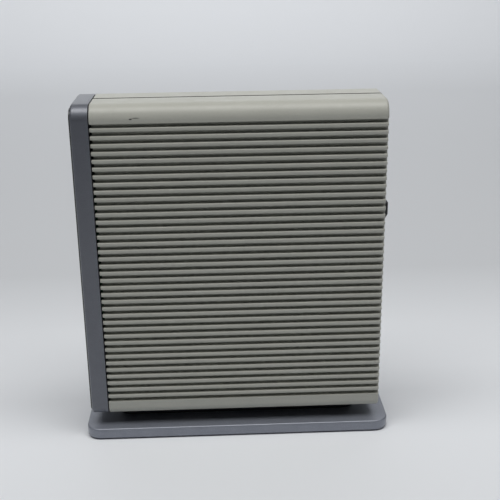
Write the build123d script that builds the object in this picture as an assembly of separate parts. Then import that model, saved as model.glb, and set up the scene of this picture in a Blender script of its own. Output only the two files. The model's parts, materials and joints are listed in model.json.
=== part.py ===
from build123d import *
from math import floor, radians, tan
import os

# Slim upright network node: a ribbed two-shell tower with a silver front bezel, standing on
# a weighted base plate. Millimetres, +Z up, +X towards the rear port panel. The origin is
# the centre of the footprint, on the surface that the feet stand on.

# ---------------------------------------------------------------- overall sizes
body_length = 179.6
body_height = 192.8
body_thick = 48.0
body_top_r = 9.0
body_low_r = 5.0
base_front_overhang = 2.9
base_rear_overhang = 6.0
base_side_overhang = 5.1
base_corner_r = 9.0
base_plate_thick = 6.3
foot_gap = 1.0
neck_height = 7.3

base_length = body_length + base_front_overhang + base_rear_overhang
base_width = body_thick + 2 * base_side_overhang
base_low_z = foot_gap
base_top_z = base_low_z + base_plate_thick
body_low_z = base_top_z + neck_height
body_top_z = body_low_z + body_height
body_front_x = -base_length / 2 + base_front_overhang
body_rear_x = base_length / 2 - base_rear_overhang

# ---------------------------------------------------------------- fits
fit_gap = 0.2
run_gap = 0.05
slide_gap = 0.1
screw_gap = 0.02
clear_gap = 0.2
root_depth = 1.0
screw_tip_gap = 1.0

# ---------------------------------------------------------------- shells
rib_pitch = 4.5
rib_height = 2.25
groove_depth = 3.0
rib_edge_r = 0.5
rib_top_margin = 10.3
shell_skin = 2.4
end_wall = 2.4
shell_inner_r = 4.0
seam_gap = 1.1
seam_tongue_reach = 2.5
seam_tongue_thick = 1.3
front_tongue_length = 2.6

groove_height = rib_pitch - rib_height
rib_field_top_z = body_top_z - rib_top_margin
rib_room = rib_field_top_z - body_low_z - body_low_r - groove_height
groove_count = floor(rib_room / rib_pitch) + 1
rib_field_height = (groove_count - 1) * rib_pitch + groove_height
inner_half = body_thick / 2 - groove_depth - shell_skin
inner_low_z = body_low_z + end_wall
inner_top_z = body_top_z - end_wall

# ---------------------------------------------------------------- front end
bezel_depth = 11.25
bezel_wall = 2.4
bezel_front_wall = 2.5
bezel_edge_r = 1.5
reveal_gap = 0.4
insert_thick = 2.0
insert_proud = 0.85
insert_inset = 2.2
insert_edge_r = 0.5
light_slot_width = 3.0
light_slot_length = 52.0
light_flange_thick = 1.0
light_flange_margin = 2.0
led_size = (1.4, 1.8, 3.4)
led_count = 5
led_pitch = 11.0
led_board_size = (1.6, 12.0, 82.0)
led_post_r = 2.5
led_post_spacing = 70.0
led_post_length = 4.35

bezel_front_x = body_front_x + insert_proud
insert_back_x = body_front_x + insert_thick
bezel_wall_back_x = insert_back_x + bezel_front_wall
bezel_back_x = body_front_x + bezel_depth - reveal_gap / 2
shell_front_x = bezel_back_x + reveal_gap
led_board_front_x = bezel_wall_back_x + led_post_length
led_front_x = led_board_front_x - led_size[0]
middle_z = (body_low_z + body_top_z) / 2

# ---------------------------------------------------------------- screws
screw_r = 1.5
screw_head_r = 2.75
screw_head_height = 1.1
small_screw_r = 1.25
small_head_r = 2.4
small_head_height = 1.4
boss_r = 3.4
boss_inset = 10.0
boss_end_inset = 9.4
boss_length = 12.25
boss_screw_length = 10.0
led_screw_length = 5.0
board_screw_length = 7.0

boss_y = body_thick / 2 - boss_inset
boss_low_z = body_low_z + boss_end_inset
boss_top_z = body_top_z - boss_end_inset
boss_places = [(side * boss_y, z) for side in (-1, 1) for z in (boss_low_z, boss_top_z)]

# ---------------------------------------------------------------- rear panel
panel_thick = 2.0
panel_recess = 2.0
vent_slot_size = (22.0, 1.8)
vent_slot_pitch = 5.0
vent_margin = 8.0

panel_back_x = body_rear_x - panel_recess
panel_front_x = panel_back_x - panel_thick

# ---------------------------------------------------------------- chassis and main board
chassis_near_y = 9.0
chassis_thick = 2.0
chassis_margin = 0.6
chassis_end_gap = 1.25
standoff_r = 3.0
standoff_height = 4.0
board_thick = 1.6
board_front_inset = 18.0
board_edge = 2.5
post_inset_x = 8.0
post_inset_z = 7.0
post_hole_depth = 6.0
standoff_floor = 0.5
board_low_margin = 2.0
board_top_margin = 4.5
board_hole_inset = 4.0
board_hole_to_jack = 18.7

chassis_far_y = chassis_near_y + chassis_thick
chassis_front_x = shell_front_x + 2 * chassis_end_gap
chassis_rear_x = panel_front_x - chassis_end_gap
chassis_low_z = boss_low_z + boss_r + chassis_margin
chassis_top_z = boss_top_z - boss_r - chassis_margin
board_far_y = chassis_near_y - standoff_height
board_near_y = board_far_y - board_thick
board_front_x = shell_front_x + board_front_inset
board_low_z = chassis_low_z + board_low_margin

# ---------------------------------------------------------------- sockets, from the lowest up
jack_count = 3
jack_size = (21.3, 13.3, 16.0)
jack_space = 2.5
jack_face_inset = 0.25
jack_cavity_depth = 14.0
jack_cavity = (6.9, 11.9)
jack_key = (1.6, 6.6)
jack_latch = (1.5, 3.9)
jack_floor_wall = 1.7
contact_size = (8.8, 0.3, 0.5)
contact_count = 8
contact_pitch = 1.02
contact_lift = 0.3
inlet_size = (12.4, 11.0, 9.5)
inlet_gap = 3.0
inlet_nose_r = 4.2
inlet_bore_r = 3.2
inlet_bore_depth = 9.5
inlet_pin_r = 1.0
inlet_pin_length = 8.5

jack_face_x = panel_back_x - jack_face_inset
jack_front_x = jack_face_x - jack_size[0]
jack_pitch = jack_size[2] + jack_space
jack_places = [board_low_z + board_edge + jack_size[2] / 2 + n * jack_pitch for n in range(jack_count)]
jack_mid_y = board_near_y - jack_size[1] / 2
inlet_z = jack_places[-1] + jack_size[2] / 2 + inlet_gap + inlet_size[2] / 2
inlet_y = board_near_y - inlet_size[1] / 2

# ---------------------------------------------------------------- buttons
switch_size = (3.6, 6.0, 6.0)
switch_bore_r = 1.75
switch_bore_depth = 2.2
plunger_length = 3.8
plunger_rest_gap = 0.7
switch_set_back = 1.0
pair_cap_r = 3.5
pair_flange_r = 4.4
pair_flange_thick = 1.4
pair_proud = 0.9
pair_stem_r = 1.5
pair_gap = 8.5
button_travel = 0.5
reset_hole_r = 1.25
reset_pin_r = 1.9
reset_recess = 0.4
reset_gap = 6.0

button_y = board_near_y - switch_size[1] / 2
reset_z = inlet_z + inlet_size[2] / 2 + reset_gap
pair_z = reset_z + pair_gap
board_top_z = pair_z + switch_size[2] / 2 + board_top_margin
pair_flange_x = panel_front_x - run_gap - pair_flange_thick
board_rear_x = pair_flange_x - button_travel - clear_gap
switch_rear_x = board_rear_x - board_edge - switch_set_back

# ---------------------------------------------------------------- rocker power switch
rocker_half_length = 7.2
rocker_half_width = 3.85
rocker_throw = 30.0
rocker_ridge = 9.83
rocker_skirt = 2.5
rocker_cheek_depth = 0.5
rocker_cheek_inset = 0.8
rocker_pivot_depth = 2.55
trunnion_r = 1.45
trunnion_reach = 1.0
rocker_swing_room = 1.8
rocker_wall = 1.2
rocker_flange = 1.5
rocker_flange_thick = 1.8
rocker_depth = 14.25
rocker_floor = 3.0
rocker_board_gap = 17.1
terminal_size = (5.0, 0.8, 4.0)
terminal_spread = 5.0

rocker_z = board_top_z + rocker_board_gap
rocker_pivot_x = panel_back_x - rocker_pivot_depth
rocker_back_x = panel_back_x - rocker_depth
rocker_cavity_half = rocker_half_length + rocker_swing_room
rocker_cavity_half_y = rocker_half_width + 3 * run_gap
rocker_end = rocker_ridge - rocker_half_length * tan(radians(rocker_throw / 2))

# ---------------------------------------------------------------- board parts
heatsink_front = 10.0
heatsink_size = (64.0, 66.0)
heatsink_base_thick = 2.5
heatsink_low = 12.0
fin_height = 8.0
fin_thick = 1.2
fin_pitch = 5.0
fin_end_margin = 8.5
pin_inset = 4.0
pin_r = 1.4
pin_head_r = 3.0
pin_head_thick = 2.0
pin_barb_r = 1.9
pin_barb_thick = 1.4
shield_height = 2.4
shield_wall = 0.3
pad_thick = 0.5
pad_margin = 2.0
processor_size = (15.0, 1.6, 15.0)
processor_offset = 6.0
memory_size = (9.0, 1.0, 12.0)
memory_offset = (9.0, 7.5)
radio_chip_size = (9.0, 1.0, 9.0)
network_chip_size = (12.0, 1.4, 12.0)
network_chip_to_jack = 20.7
flash_chip_size = (6.0, 1.8, 8.0)
flash_chip_offset = (20.0, 7.5)
magnetics_size = (10.0, 3.5, 12.0)
magnetics_to_jack = 3.0
capacitor_r = 3.0
capacitor_height = 8.0
capacitor_pitch = 7.5
capacitor_to_jack = 8.7
capacitor_drop = 2.0
inductor_size = (7.0, 4.0, 7.0)
inductor_offset = 5.0
inductor_to_jack = 24.7
plug_size = (8.0, 6.0, 8.0)
plug_to_jack = 6.7
plug_drop = 12.0
display_plug_size = (5.0, 3.0, 8.0)
display_plug_offset = (4.5, 10.0)

heatsink_front_x = board_front_x + heatsink_front
heatsink_low_z = board_low_z + heatsink_low
heatsink_far_y = board_near_y - shield_height - pad_thick
heatsink_near_y = heatsink_far_y - heatsink_base_thick
board_hole_rear_x = jack_front_x - board_hole_to_jack
board_holes = [
    (x, z)
    for x in (board_front_x + board_hole_inset, board_hole_rear_x)
    for z in (board_low_z + board_hole_inset, board_top_z - board_hole_inset)
]
pin_places = [
    (heatsink_front_x + dx, heatsink_low_z + dz)
    for dx in (pin_inset, heatsink_size[0] - pin_inset)
    for dz in (pin_inset, heatsink_size[1] - pin_inset)
]
plug_x = jack_front_x - plug_to_jack
plug_z = board_top_z - plug_drop

# ---------------------------------------------------------------- antennas and leads
antenna_size = (40.0, 0.8, 11.0)
antenna_pad = (3.0, 1.2, 3.0)
coax_r = 0.6
wire_r = 0.8
coax_plug = (3.0, 2.0, 3.0)
coax_plug_margin = 1.5
coax_plug_offsets = (8.0, 20.0, 32.0, 44.0)
top_antenna_margin = 1.0
side_antenna_margin = 0.5
upper_side_drop = 14.0
lower_side_rise = 16.0
front_level_shift = 20.0
rear_level_shift = 16.0
lead_crest = 12.0
lead_shoulder = 4.0
lead_descent = 2.0
lead_first_share = 0.4
lead_entry = 6.0
display_lead_shift = 3.0
display_lead_inset = (2.0, 1.5)
power_lead_spread = 2.0

# ---------------------------------------------------------------- base
base_edge_r = 0.9
neck_end_margin = 14.8
neck_half_width = 11.0
neck_corner_r = 8.0
neck_wall = 2.4
weight_end_margin = 18.45
weight_side_margin = 7.3
weight_thick = 3.8
weight_corner_r = 2.0
base_screw_x = 55.0
base_screw_y = 7.0
base_boss_height = 9.0
foot_r = 5.0
foot_inset = 11.0
foot_seat = 0.6

neck_length = body_length - 2 * neck_end_margin
weight_length = base_length - 2 * weight_end_margin
weight_half_width = base_width / 2 - weight_side_margin


# ---------------------------------------------------------------- shared shapes
def span_box(x, y, z):
    """A box between two values on each axis."""
    size = [high - low for low, high in (x, y, z)]
    middle = [(low + high) / 2 for low, high in (x, y, z)]
    return Pos(*middle) * Box(*size)


def centred_box(size, x, y, z):
    return Pos(x, y, z) * Box(*size)


def rod_x(radius, x, y, z):
    """A cylinder along X between two values of x."""
    return Pos((x[0] + x[1]) / 2, y, z) * Rot(0, 90, 0) * Cylinder(radius, x[1] - x[0])


def rod_y(radius, x, y, z):
    """A cylinder along Y between two values of y."""
    return Pos(x, (y[0] + y[1]) / 2, z) * Rot(90, 0, 0) * Cylinder(radius, y[1] - y[0])


def rod_z(radius, x, y, z):
    """A cylinder along Z between two values of z."""
    return Pos(x, y, (z[0] + z[1]) / 2) * Cylinder(radius, z[1] - z[0])


def end_face(thick, z, corner_r):
    """A rounded upright rectangle, as seen from the rear: Y across, Z up."""
    return Pos(0, (z[0] + z[1]) / 2) * RectangleRounded(thick, z[1] - z[0], corner_r)


def along_x(face, x):
    return extrude(Plane.YZ.offset(x[0]) * face, x[1] - x[0])


def tower_face(inset):
    """The tower's own outline, drawn in all round by inset: wide corners above, tight below."""
    face = Pos(0, middle_z) * Rectangle(body_thick - 2 * inset, body_height - 2 * inset)
    face = fillet(face.vertices().group_by(Axis.Y)[-1], body_top_r - inset)
    return fillet(face.vertices().group_by(Axis.Y)[0], body_low_r - inset)


def body_slab(inset, x):
    return along_x(tower_face(inset), x)


def flat_plate(length, width, z, corner_r):
    """A rounded plate lying flat, centred on the origin."""
    face = Plane.XY.offset(z[0]) * RectangleRounded(length, width, corner_r)
    return extrude(face, z[1] - z[0])


def lead(points, radius):
    """A round wire along straight runs joined by tangent arcs."""
    route = [Vector(*point) for point in points]
    radii = []
    for before, corner, after in zip(route, route[1:], route[2:]):
        turn = (corner - before).get_angle(after - corner)
        shorter = min((corner - before).length, (after - corner).length)
        radii.append(0.45 * shorter / tan(radians(turn / 2)))
    path = FilletPolyline(*route, radius=radii)
    return sweep(Plane(path @ 0, z_dir=path % 0) * Circle(radius), path=path)


def group(solids):
    return Compound(children=list(solids))


# ---------------------------------------------------------------- shells
def shell_section():
    """Half of the tower's section, on the +Y side: skin, ribs and seam face."""
    face = tower_face(0)
    field_mid_z = rib_field_top_z - rib_field_height / 2
    groove_floor_y = body_thick / 2 - groove_depth
    face -= Pos(body_thick / 2, field_mid_z) * Rectangle(2 * groove_depth, rib_field_height)
    root_y = groove_floor_y - shell_skin / 2
    rib = Rectangle(body_thick / 2 - root_y, rib_height)
    rib = fillet(rib.vertices().group_by(Axis.X)[-1], rib_edge_r)
    ribs = []
    for n in range(groove_count - 1):
        z = rib_field_top_z - groove_height - rib_height / 2 - n * rib_pitch
        ribs.append(Pos((root_y + body_thick / 2) / 2, z) * rib)
    face += ribs
    face -= end_face(2 * inner_half, (inner_low_z, inner_top_z), shell_inner_r)
    cut_width = body_thick
    face -= Pos((seam_gap - cut_width) / 2, middle_z) * Rectangle(cut_width, 2 * body_height)
    return face


def corner_bosses():
    """Blocks in the shell's four inner corners that take the bezel and panel screws."""
    blocks = []
    for z, wall_z in ((boss_low_z, inner_low_z - fit_gap), (boss_top_z, inner_top_z + fit_gap)):
        outward = 1 if wall_z > z else -1
        across = (boss_y - boss_r, inner_half + 2 * fit_gap)
        upright = sorted((z - outward * boss_r, wall_z))
        front = (shell_front_x, shell_front_x + boss_length)
        rear = (panel_front_x - boss_length, panel_front_x)
        for x in (front, rear):
            blocks.append(span_box(x, across, upright))
        blocks.append(rod_x(boss_r, (bezel_wall_back_x, shell_front_x + root_depth), boss_y, z))
    return blocks


def boss_screw_holes():
    holes = []
    for z in (boss_low_z, boss_top_z):
        for x in (
            (bezel_wall_back_x, bezel_wall_back_x + boss_screw_length + screw_tip_gap),
            (panel_front_x - boss_screw_length - screw_tip_gap, panel_front_x),
        ):
            holes.append(rod_x(screw_r + screw_gap, x, boss_y, z))
    return holes


def base_screw_bosses():
    z = (body_low_z + end_wall / 2, inner_low_z + base_boss_height)
    return [rod_z(boss_r, x, base_screw_y, z) for x in (-base_screw_x, base_screw_x)]


def base_screw_holes():
    z = (body_low_z, inner_low_z + base_boss_height)
    return [rod_z(screw_r + screw_gap, x, base_screw_y, z) for x in (-base_screw_x, base_screw_x)]


def half_shell():
    """The shell on the +Y side, before what only one side has."""
    shell = along_x(shell_section(), (shell_front_x, body_rear_x))
    tongue_x = (shell_front_x - front_tongue_length, shell_front_x + root_depth)
    tongue = body_slab(bezel_wall + fit_gap, tongue_x)
    tongue &= span_box(tongue_x, (seam_gap / 2, body_thick), (0, 2 * body_top_z))
    hollow_z = (inner_low_z, inner_top_z)
    hollow_x = (shell_front_x - 2 * front_tongue_length, shell_front_x + 2 * root_depth)
    tongue -= along_x(end_face(2 * inner_half, hollow_z, shell_inner_r), hollow_x)
    shell += tongue
    shell += corner_bosses() + base_screw_bosses()
    shell -= boss_screw_holes() + base_screw_holes()
    return shell


def seam_tongues():
    """Strips on the far shell that close the seam from inside."""
    strips = []
    x = (shell_front_x, panel_front_x - fit_gap)
    root_y = seam_gap / 2 + seam_tongue_reach
    for wall_z, inward in ((inner_top_z, -1), (inner_low_z, 1)):
        lip_z = sorted((wall_z + inward * slide_gap, wall_z + inward * seam_tongue_thick))
        root_z = sorted((wall_z - inward * fit_gap, wall_z + inward * seam_tongue_thick))
        strips.append(span_box(x, (-seam_tongue_reach, root_y), lip_z))
        strips.append(span_box(x, (seam_gap / 2, root_y), root_z))
    return strips


post_places = [
    (x, z)
    for x in (chassis_front_x + post_inset_x, chassis_rear_x - post_inset_x)
    for z in (chassis_low_z + post_inset_z, chassis_top_z - post_inset_z)
]


def far_shell():
    shell = half_shell() + seam_tongues()
    shell += [rod_y(boss_r, x, (chassis_far_y, inner_half + root_depth), z) for x, z in post_places]
    hole_y = (chassis_far_y, chassis_far_y + post_hole_depth)
    shell -= [rod_y(small_screw_r + screw_gap, x, hole_y, z) for x, z in post_places]
    return shell


def near_shell():
    return mirror(half_shell(), about=Plane.XZ)


# ---------------------------------------------------------------- front end
led_post_places = [middle_z - led_post_spacing / 2, middle_z + led_post_spacing / 2]


def front_bezel():
    bezel = body_slab(0, (bezel_front_x, bezel_back_x))
    front_rim = bezel.faces().sort_by(Axis.X)[0].edges()
    bezel = fillet(front_rim, bezel_edge_r)
    bezel -= body_slab(bezel_wall, (bezel_wall_back_x, bezel_back_x))
    bezel -= body_slab(insert_inset - slide_gap, (bezel_front_x, insert_back_x))
    slot_x = (insert_back_x, bezel_wall_back_x)
    half_slot = light_slot_width / 2 + slide_gap
    half_length = light_slot_length / 2 + slide_gap
    slot_z = (middle_z - half_length, middle_z + half_length)
    bezel -= span_box(slot_x, (-half_slot, half_slot), slot_z)
    head_x = (insert_back_x, insert_back_x + screw_head_height + slide_gap)
    bezel -= [rod_x(screw_head_r + clear_gap, head_x, y, z) for y, z in boss_places]
    bezel -= [rod_x(screw_r + clear_gap, slot_x, y, z) for y, z in boss_places]
    post_x = (bezel_wall_back_x - root_depth, led_board_front_x)
    bezel += [rod_x(led_post_r, post_x, 0, z) for z in led_post_places]
    hole_x = (bezel_wall_back_x, led_board_front_x)
    bezel -= [rod_x(small_screw_r + screw_gap, hole_x, 0, z) for z in led_post_places]
    return bezel


def front_insert():
    insert = body_slab(insert_inset, (body_front_x, insert_back_x))
    return fillet(insert.faces().sort_by(Axis.X)[0].edges(), insert_edge_r)


def light_pipe():
    half_width = light_slot_width / 2
    half_length = light_slot_length / 2
    bar_x = (insert_back_x, led_front_x - slide_gap)
    z = (middle_z - half_length, middle_z + half_length)
    bar = span_box(bar_x, (-half_width, half_width), z)
    flange_x = (bezel_wall_back_x, bezel_wall_back_x + light_flange_thick)
    flange_half = half_width + light_flange_margin
    flange_z = (z[0] - light_flange_margin, z[1] + light_flange_margin)
    return bar + span_box(flange_x, (-flange_half, flange_half), flange_z)


def led_board():
    x = led_board_front_x + led_board_size[0] / 2
    board = centred_box(led_board_size, x, 0, middle_z)
    hole_x = (led_board_front_x, led_board_front_x + led_board_size[0])
    return board - [rod_x(small_screw_r + clear_gap, hole_x, 0, z) for z in led_post_places]


def leds():
    first = middle_z - (led_count - 1) * led_pitch / 2
    x = led_board_front_x - led_size[0] / 2
    return group(centred_box(led_size, x, 0, first + n * led_pitch) for n in range(led_count))


def screw(place, direction, radius, length, head_r, head_height):
    """A pan-head screw with a cross slot; place is under the head, direction is the tip's way."""
    plane = Plane(place, z_dir=direction)
    shank = plane * Pos(0, 0, length / 2) * Cylinder(radius, length)
    head = plane * Pos(0, 0, -head_height / 2) * Cylinder(head_r, head_height)
    slot = plane * Pos(0, 0, -head_height) * Box(head_r, head_r / 5, head_height)
    cross = plane * Pos(0, 0, -head_height) * Box(head_r / 5, head_r, head_height)
    return shank + head - slot - cross


def case_screw(place, direction):
    length = boss_screw_length
    return screw(place, direction, screw_r, length, screw_head_r, screw_head_height)


def small_screw(place, direction, length):
    return screw(place, direction, small_screw_r, length, small_head_r, small_head_height)


def bezel_screws():
    x = insert_back_x + screw_head_height + slide_gap
    return group(case_screw((x, y, z), (1, 0, 0)) for y, z in boss_places)


def led_board_screws():
    x = led_board_front_x + led_board_size[0]
    return group(small_screw((x, 0, z), (-1, 0, 0), led_screw_length) for z in led_post_places)


# ---------------------------------------------------------------- rear panel
def opening(z, half_y, half_z, y=0.0):
    x = (panel_front_x, panel_back_x)
    return span_box(x, (y - half_y, y + half_y), (z - half_z, z + half_z))


def vent_slots():
    low = rocker_z + rocker_cavity_half + rocker_wall + rocker_flange + vent_margin
    high = boss_top_z - vent_margin
    count = floor((high - low) / vent_slot_pitch) + 1
    half_y, half_z = (side / 2 for side in vent_slot_size)
    return [opening(low + n * vent_slot_pitch, half_y, half_z) for n in range(count)]


def rear_panel():
    x = (panel_front_x, panel_back_x)
    z = (inner_low_z + fit_gap, inner_top_z - fit_gap)
    panel = along_x(end_face(2 * (inner_half - fit_gap), z, shell_inner_r - fit_gap), x)
    half_jack_y = jack_size[1] / 2 + fit_gap
    half_jack_z = jack_size[2] / 2 + fit_gap
    panel -= [opening(place, half_jack_y, half_jack_z, jack_mid_y) for place in jack_places]
    panel -= rod_x(inlet_nose_r + fit_gap, x, inlet_y, inlet_z)
    panel -= rod_x(reset_hole_r, x, button_y, reset_z)
    panel -= rod_x(pair_cap_r + slide_gap, x, button_y, pair_z)
    half_y = rocker_cavity_half_y + rocker_wall + fit_gap
    half_z = rocker_cavity_half + rocker_wall + fit_gap
    panel -= opening(rocker_z, half_y, half_z)
    panel -= [rod_x(screw_r + clear_gap, x, y, place) for y, place in boss_places]
    return panel - vent_slots()


def rear_panel_screws():
    return group(case_screw((panel_back_x, y, z), (-1, 0, 0)) for y, z in boss_places)


def ethernet_jack(z):
    """A socket block with its plug cavity, key and latch way."""
    body = centred_box(jack_size, jack_face_x - jack_size[0] / 2, jack_mid_y, z)
    x = (jack_face_x - jack_cavity_depth, jack_face_x)
    floor_y = board_near_y - jack_size[1] + jack_floor_wall
    for depth, width in (jack_cavity, jack_key, jack_latch):
        body -= span_box(x, (floor_y, floor_y + depth), (z - width / 2, z + width / 2))
        floor_y += depth
    return body


def jack_contacts():
    """Eight spring contacts along the floor of each socket."""
    x = jack_face_x - jack_cavity_depth + contact_size[0] / 2
    floor_y = board_near_y - jack_size[1] + jack_floor_wall
    y = floor_y + contact_lift + contact_size[1] / 2
    steps = [n - (contact_count - 1) / 2 for n in range(contact_count)]
    places = [z + n * contact_pitch for z in jack_places for n in steps]
    return group(centred_box(contact_size, x, y, z) for z in places)


def power_inlet():
    x = (panel_front_x - fit_gap - inlet_size[0], panel_front_x - fit_gap)
    body = centred_box(inlet_size, sum(x) / 2, inlet_y, inlet_z)
    body += rod_x(inlet_nose_r, (x[1] - root_depth, jack_face_x), inlet_y, inlet_z)
    return body - rod_x(inlet_bore_r, (jack_face_x - inlet_bore_depth, jack_face_x), inlet_y, inlet_z)


def inlet_pin():
    floor_x = jack_face_x - inlet_bore_depth
    return rod_x(inlet_pin_r, (floor_x, floor_x + inlet_pin_length), inlet_y, inlet_z)


# ---------------------------------------------------------------- buttons and their switches
def button_switch(z):
    body = centred_box(switch_size, switch_rear_x - switch_size[0] / 2, button_y, z)
    return body - rod_x(switch_bore_r, (switch_rear_x - switch_bore_depth, switch_rear_x), button_y, z)


def plunger_x():
    inner = switch_rear_x - switch_bore_depth + plunger_rest_gap
    return (inner, inner + plunger_length)


def button_plunger(z):
    return rod_x(switch_bore_r - slide_gap, plunger_x(), button_y, z)


def pair_button():
    flange_x = (pair_flange_x, pair_flange_x + pair_flange_thick)
    button = rod_x(pair_cap_r, (flange_x[0], panel_back_x + pair_proud), button_y, pair_z)
    button = fillet(button.faces().sort_by(Axis.X)[-1].edges(), insert_edge_r)
    button += rod_x(pair_flange_r, flange_x, button_y, pair_z)
    return button + rod_x(pair_stem_r, (plunger_x()[1], flange_x[0]), button_y, pair_z)


def reset_button():
    x = (plunger_x()[1], panel_front_x - reset_recess)
    return rod_x(reset_pin_r, x, button_y, reset_z)


# ---------------------------------------------------------------- rocker power switch
def rocker_housing():
    half_y = rocker_cavity_half_y + rocker_wall
    half_z = rocker_cavity_half + rocker_wall
    face_x = panel_back_x + rocker_flange_thick
    low, high = rocker_z - half_z, rocker_z + half_z
    body = span_box((rocker_back_x, face_x), (-half_y, half_y), (low, high))
    flange_y = (-half_y - rocker_flange, half_y + rocker_flange)
    flange_z = (low - rocker_flange, high + rocker_flange)
    body += span_box((panel_back_x, face_x), flange_y, flange_z)
    cavity_z = (rocker_z - rocker_cavity_half, rocker_z + rocker_cavity_half)
    cavity_y = (-rocker_cavity_half_y, rocker_cavity_half_y)
    body -= span_box((rocker_back_x + rocker_floor, face_x), cavity_y, cavity_z)
    return body - rod_y(trunnion_r + run_gap, rocker_pivot_x, (-half_y, half_y), rocker_z)


def rocker():
    """A ridged rocker on its trunnions, resting with its upper face out and level with the panel."""
    outline = [
        (rocker_end, rocker_half_length),
        (rocker_ridge, 0),
        (rocker_end, -rocker_half_length),
        (rocker_cheek_depth, rocker_cheek_inset - rocker_half_length),
        (-rocker_skirt, -rocker_skirt),
        (-rocker_skirt, rocker_skirt),
        (rocker_cheek_depth, rocker_half_length - rocker_cheek_inset),
    ]
    face = Plane.XZ * make_face(Polyline(*outline, close=True))
    body = extrude(face, rocker_half_width, both=True)
    reach = rocker_half_width + trunnion_reach
    body += rod_y(trunnion_r, 0, (-reach, reach), 0)
    return Pos(rocker_pivot_x, 0, rocker_z) * Rot(0, rocker_throw / 2, 0) * body


terminal_places = [rocker_z + terminal_spread, rocker_z - terminal_spread]


def switch_terminals():
    x = rocker_back_x - terminal_size[0] / 2
    return group(centred_box(terminal_size, x, 0, z) for z in terminal_places)


# ---------------------------------------------------------------- chassis and board
def chassis():
    y = (chassis_near_y, chassis_far_y)
    plate = span_box((chassis_front_x, chassis_rear_x), y, (chassis_low_z, chassis_top_z))
    plate += [rod_y(standoff_r, x, (board_far_y, chassis_near_y + root_depth), z) for x, z in board_holes]
    hole_y = (board_far_y, chassis_far_y - standoff_floor)
    plate -= [rod_y(small_screw_r + screw_gap, x, hole_y, z) for x, z in board_holes]
    plate -= [rod_y(small_screw_r + clear_gap, x, y, z) for x, z in post_places]
    return plate


def chassis_screws():
    return group(small_screw((x, chassis_near_y, z), (0, 1, 0), board_screw_length) for x, z in post_places)


def main_board():
    y = (board_near_y, board_far_y)
    board = span_box((board_front_x, board_rear_x), y, (board_low_z, board_top_z))
    board -= [rod_y(small_screw_r + clear_gap, x, y, z) for x, z in board_holes]
    return board - [rod_y(pin_r + slide_gap, x, y, z) for x, z in pin_places]


def board_screws():
    return group(small_screw((x, board_near_y, z), (0, 1, 0), board_screw_length) for x, z in board_holes)


def on_board(size, x, z):
    """A block on the board's near face; size is along X, off the board, and along Z."""
    return centred_box(size, x, board_near_y - size[1] / 2, z)


shield_places = {
    "processor_shield": ((32.0, 32.0), (24.0, 33.0)),
    "lower_radio_shield": ((16.0, 22.0), (52.0, 21.0)),
    "upper_radio_shield": ((16.0, 22.0), (52.0, 46.0)),
}


def shield_centre(name):
    dx, dz = shield_places[name][1]
    return heatsink_front_x + dx, heatsink_low_z + dz


def shield_can(name):
    length, height = shield_places[name][0]
    x, z = shield_centre(name)
    can = on_board((length, shield_height, height), x, z)
    inner = (length - 2 * shield_wall, shield_height - shield_wall, height - 2 * shield_wall)
    return can - on_board(inner, x, z)


def thermal_pads():
    pads = []
    y = heatsink_far_y + pad_thick / 2
    for name, (size, _) in shield_places.items():
        x, z = shield_centre(name)
        pad = (size[0] - 2 * pad_margin, pad_thick, size[1] - 2 * pad_margin)
        pads.append(centred_box(pad, x, y, z))
    return group(pads)


def heatsink():
    length, height = heatsink_size
    x = (heatsink_front_x, heatsink_front_x + length)
    z = (heatsink_low_z, heatsink_low_z + height)
    sink = span_box(x, (heatsink_near_y, heatsink_far_y), z)
    fin_y = (heatsink_near_y - fin_height, heatsink_near_y + heatsink_base_thick / 2)
    fin_z = (z[0] + fin_end_margin, z[1] - fin_end_margin)
    count = floor((length - fin_thick) / fin_pitch) + 1
    first = x[0] + (length - (count - 1) * fin_pitch) / 2
    for n in range(count):
        middle = first + n * fin_pitch
        sink += span_box((middle - fin_thick / 2, middle + fin_thick / 2), fin_y, fin_z)
    base_y = (heatsink_near_y, heatsink_far_y)
    return sink - [rod_y(pin_r + slide_gap, px, base_y, pz) for px, pz in pin_places]


def heatsink_pins():
    pins = []
    for x, z in pin_places:
        pin = rod_y(pin_r, x, (heatsink_near_y - root_depth, board_far_y + root_depth), z)
        pin += rod_y(pin_head_r, x, (heatsink_near_y - pin_head_thick, heatsink_near_y), z)
        pins.append(pin + rod_y(pin_barb_r, x, (board_far_y, board_far_y + pin_barb_thick), z))
    return group(pins)


def processor():
    x, z = shield_centre("processor_shield")
    return on_board(processor_size, x - processor_offset, z)


def memory_chips():
    x, z = shield_centre("processor_shield")
    dx, dz = memory_offset
    return group(on_board(memory_size, x + dx, z + side * dz) for side in (-1, 1))


def radio_chips():
    names = ("lower_radio_shield", "upper_radio_shield")
    centres = [shield_centre(name) for name in names]
    return group(on_board(radio_chip_size, x, z) for x, z in centres)


def network_chip():
    return on_board(network_chip_size, jack_front_x - network_chip_to_jack, jack_places[1])


def flash_chip():
    dx, drop = flash_chip_offset
    return on_board(flash_chip_size, heatsink_front_x + dx, heatsink_low_z - drop)


def magnetics():
    x = jack_front_x - magnetics_size[0] / 2 - magnetics_to_jack
    return group(on_board(magnetics_size, x, z) for z in jack_places)


def capacitors():
    x = jack_front_x - capacitor_to_jack
    y = (board_near_y - capacitor_height, board_near_y)
    z = inlet_z - capacitor_drop
    return group(rod_y(capacitor_r, x - dx, y, z) for dx in (0, capacitor_pitch))


def inductors():
    x = jack_front_x - inductor_to_jack
    return group(on_board(inductor_size, x, inlet_z + side * inductor_offset) for side in (-1, 1))


def board_plug():
    return on_board(plug_size, plug_x, plug_z)


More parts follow.
